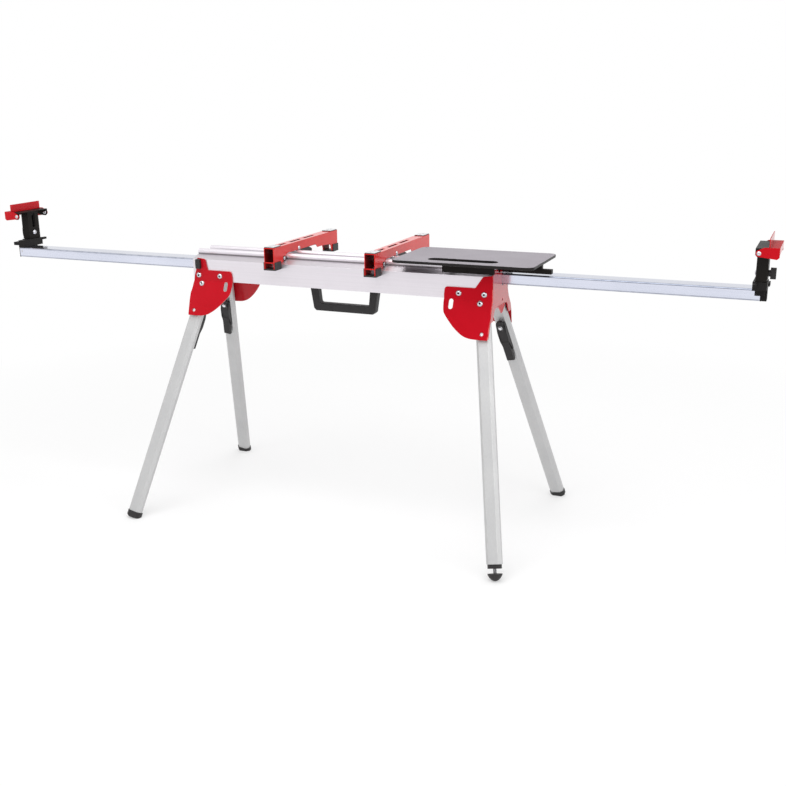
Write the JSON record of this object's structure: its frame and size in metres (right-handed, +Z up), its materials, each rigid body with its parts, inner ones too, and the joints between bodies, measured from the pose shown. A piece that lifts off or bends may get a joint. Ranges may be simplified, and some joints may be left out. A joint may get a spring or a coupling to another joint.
{
  "type": "folding miter saw stand",
  "caption": "Folding stand for a miter saw: beam with splayed folding legs, sliding saw clamps, pull-out work supports with flip stops and a side table.",
  "frame": {"origin": "on the floor under the middle of the beam", "axes": "+Z up, +X along the beam towards the side table, -Y towards the user at the front"},
  "size_m": [2.49, 0.7126, 0.936],
  "materials": {
    "red_paint": "satin",
    "beam_metal": "satin",
    "tube_metal": "polished",
    "leg_metal": "satin",
    "black_plastic": "matte",
    "black_metal": "satin",
    "steel": "satin",
    "table_metal": "satin"
  },
  "bodies": {
    "frame": {"main_beam": "beam_metal", "bracket_left": "red_paint", "bracket_right": "red_paint", "bracket_bolt_outer_left": "steel", "bracket_bolt_inner_left": "steel", "bracket_bolt_outer_right": "steel", "bracket_bolt_inner_right": "steel", "carry_handle": "black_plastic", "pivot_bolt_front_left": "steel", "pivot_bolt_front_right": "steel", "pivot_bolt_rear_left": "steel", "pivot_bolt_rear_right": "steel"},
    "leg_front_left": {"leg_front_left": "leg_metal", "foot_cap_front_left": "black_plastic", "lever_base_front_left": "black_plastic"},
    "lever_front_left": {"lever_front_left": "black_plastic"},
    "pin_front_left": {"lock_pin_front_left": "steel"},
    "leg_front_right": {"leg_front_right": "leg_metal", "foot_cap_front_right": "black_plastic", "lever_base_front_right": "black_plastic"},
    "lever_front_right": {"lever_front_right": "black_plastic"},
    "pin_front_right": {"lock_pin_front_right": "steel"},
    "leg_rear_left": {"leg_rear_left": "leg_metal", "foot_cap_rear_left": "black_plastic", "lever_base_rear_left": "black_plastic"},
    "lever_rear_left": {"lever_rear_left": "black_plastic"},
    "pin_rear_left": {"lock_pin_rear_left": "steel"},
    "leg_rear_right": {"leg_rear_right": "leg_metal", "foot_cap_rear_right": "black_plastic", "lever_base_rear_right": "black_plastic"},
    "lever_rear_right": {"lever_rear_right": "black_plastic"},
    "pin_rear_right": {"lock_pin_rear_right": "steel"},
    "level_foot": {"level_foot": "black_plastic"},
    "extension_left": {"pull_tube_left": "tube_metal", "support_base_left": "black_plastic"},
    "column_left": {"column_left": "black_metal"},
    "knob_left": {"knob_left": "black_plastic"},
    "flip_stop_left": {"flip_stop_left": "red_paint"},
    "tube_lock_left": {"tube_lock_left": "black_plastic"},
    "extension_right": {"pull_tube_right": "tube_metal", "support_base_right": "black_plastic"},
    "column_right": {"column_right": "black_metal"},
    "knob_right": {"knob_right": "black_plastic"},
    "flip_stop_right": {"flip_stop_right": "red_paint"},
    "tube_lock_right": {"tube_lock_right": "black_plastic"},
    "clamp_left": {"saw_clamp_left": "red_paint", "clamp_pad_front_left": "steel", "clamp_pad_rear_left": "steel", "clamp_shoe_front_left": "black_plastic", "clamp_shoe_rear_left": "black_plastic"},
    "cam_left": {"cam_lever_left": "black_plastic"},
    "clamp_right": {"saw_clamp_right": "red_paint", "clamp_pad_front_right": "steel", "clamp_pad_rear_right": "steel", "clamp_shoe_front_right": "black_plastic", "clamp_shoe_rear_right": "black_plastic"},
    "cam_right": {"cam_lever_right": "black_plastic"},
    "table": {"table_panel": "table_metal", "table_carrier": "black_metal"}
  },
  "joints": [
    {"name": "fold_front_left", "type": "hinge", "parent": "frame", "child": "leg_front_left", "pos_m": [-0.4621, -0.05865, 0.70833], "axis": [0, -0.9284, 0.3716], "range_deg": [0, 102.38]},
    {"name": "squeeze_front_left", "type": "hinge", "parent": "leg_front_left", "child": "lever_front_left", "pos_m": [-0.4832, -0.07736, 0.59295], "axis": [-0.9833, 0.0676, 0.1689], "range_deg": [-8.5, 0], "stiffness_Nm_per_rad": 1.2, "springref_deg": -14.21},
    {"name": "pull_pin_front_left", "type": "slide", "parent": "leg_front_left", "child": "pin_front_left", "axis": [0, 0.9284, -0.3716], "range_m": [-0.0042, 0]},
    {"name": "fold_front_right", "type": "hinge", "parent": "frame", "child": "leg_front_right", "pos_m": [0.4621, -0.05865, 0.70833], "axis": [0, 0.9284, -0.3716], "range_deg": [0, 90.48]},
    {"name": "squeeze_front_right", "type": "hinge", "parent": "leg_front_right", "child": "lever_front_right", "pos_m": [0.4832, -0.07736, 0.59295], "axis": [-0.9833, -0.0676, -0.1689], "range_deg": [-8.5, 0], "stiffness_Nm_per_rad": 1.2, "springref_deg": -14.21},
    {"name": "pull_pin_front_right", "type": "slide", "parent": "leg_front_right", "child": "pin_front_right", "axis": [0, 0.9284, -0.3716], "range_m": [-0.0042, 0]},
    {"name": "fold_rear_left", "type": "hinge", "parent": "frame", "child": "leg_rear_left", "pos_m": [-0.4621, 0.05865, 0.70833], "axis": [0, -0.9284, -0.3716], "range_deg": [0, 102.38]},
    {"name": "squeeze_rear_left", "type": "hinge", "parent": "leg_rear_left", "child": "lever_rear_left", "pos_m": [-0.4832, 0.07736, 0.59295], "axis": [0.9833, 0.0676, -0.1689], "range_deg": [-8.5, 0], "stiffness_Nm_per_rad": 1.2, "springref_deg": -14.21},
    {"name": "pull_pin_rear_left", "type": "slide", "parent": "leg_rear_left", "child": "pin_rear_left", "axis": [0, -0.9284, -0.3716], "range_m": [-0.0042, 0]},
    {"name": "fold_rear_right", "type": "hinge", "parent": "frame", "child": "leg_rear_right", "pos_m": [0.4621, 0.05865, 0.70833], "axis": [0, 0.9284, 0.3716], "range_deg": [0, 90.48]},
    {"name": "squeeze_rear_right", "type": "hinge", "parent": "leg_rear_right", "child": "lever_rear_right", "pos_m": [0.4832, 0.07736, 0.59295], "axis": [0.9833, -0.0676, 0.1689], "range_deg": [-8.5, 0], "stiffness_Nm_per_rad": 1.2, "springref_deg": -14.21},
    {"name": "pull_pin_rear_right", "type": "slide", "parent": "leg_rear_right", "child": "pin_rear_right", "axis": [0, -0.9284, -0.3716], "range_m": [-0.0042, 0]},
    {"name": "level", "type": "slide", "parent": "leg_front_right", "child": "level_foot", "axis": [-0.1819, 0.3654, 0.9129], "range_m": [0, 0.012]},
    {"name": "push_in_left", "type": "slide", "parent": "frame", "child": "extension_left", "axis": [1, 0, 0], "range_m": [0, 0.66]},
    {"name": "raise_left", "type": "slide", "parent": "extension_left", "child": "column_left", "axis": [0, 0, 1], "range_m": [0, 0.055]},
    {"name": "turn_knob_left", "type": "hinge", "parent": "column_left", "child": "knob_left", "pos_m": [-1.2165, 0, 0.8365], "axis": [-1, 0, 0], "range_deg": [0, 270]},
    {"name": "flip_left", "type": "hinge", "parent": "column_left", "child": "flip_stop_left", "pos_m": [-1.195, 0, 0.897], "axis": [0, 1, 0], "range_deg": [0, 180]},
    {"name": "turn_lock_left", "type": "hinge", "parent": "frame", "child": "tube_lock_left", "pos_m": [-0.4705, -0.0795, 0.7795], "axis": [0, -1, 0], "range_deg": [0, 90]},
    {"name": "push_in_right", "type": "slide", "parent": "frame", "child": "extension_right", "axis": [-1, 0, 0], "range_m": [0, 0.5]},
    {"name": "raise_right", "type": "slide", "parent": "extension_right", "child": "column_right", "axis": [0, 0, 1], "range_m": [0, 0.055]},
    {"name": "turn_knob_right", "type": "hinge", "parent": "column_right", "child": "knob_right", "pos_m": [1.2165, 0, 0.8365], "axis": [1, 0, 0], "range_deg": [0, 270]},
    {"name": "flip_right", "type": "hinge", "parent": "column_right", "child": "flip_stop_right", "pos_m": [1.195, 0, 0.897], "axis": [0, -1, 0], "range_deg": [0, 180]},
    {"name": "turn_lock_right", "type": "hinge", "parent": "frame", "child": "tube_lock_right", "pos_m": [0.4705, 0.0795, 0.7795], "axis": [0, 1, 0], "range_deg": [0, 90]},
    {"name": "slide_clamp_left", "type": "slide", "parent": "frame", "child": "clamp_left", "axis": [1, 0, 0], "range_m": [-0.23, 0.1]},
    {"name": "lift_cam_left", "type": "hinge", "parent": "clamp_left", "child": "cam_left", "pos_m": [-0.195, 0.042, 0.827], "axis": [1, 0, 0], "range_deg": [0, 18]},
    {"name": "slide_clamp_right", "type": "slide", "parent": "frame", "child": "clamp_right", "axis": [1, 0, 0], "range_m": [-0.1, 0.02]},
    {"name": "lift_cam_right", "type": "hinge", "parent": "clamp_right", "child": "cam_right", "pos_m": [0.1374, 0.042, 0.827], "axis": [1, 0, 0], "range_deg": [0, 18]},
    {"name": "slide_table", "type": "slide", "parent": "frame", "child": "table", "axis": [1, 0, 0], "range_m": [-0.02, 0.02]}
  ],
  "couplings": [
    {"joint": "pull_pin_front_left", "follows": "squeeze_front_left", "m_per_rad": 0.028},
    {"joint": "pull_pin_front_right", "follows": "squeeze_front_right", "m_per_rad": 0.028},
    {"joint": "pull_pin_rear_left", "follows": "squeeze_rear_left", "m_per_rad": 0.028},
    {"joint": "pull_pin_rear_right", "follows": "squeeze_rear_right", "m_per_rad": 0.028}
  ]
}
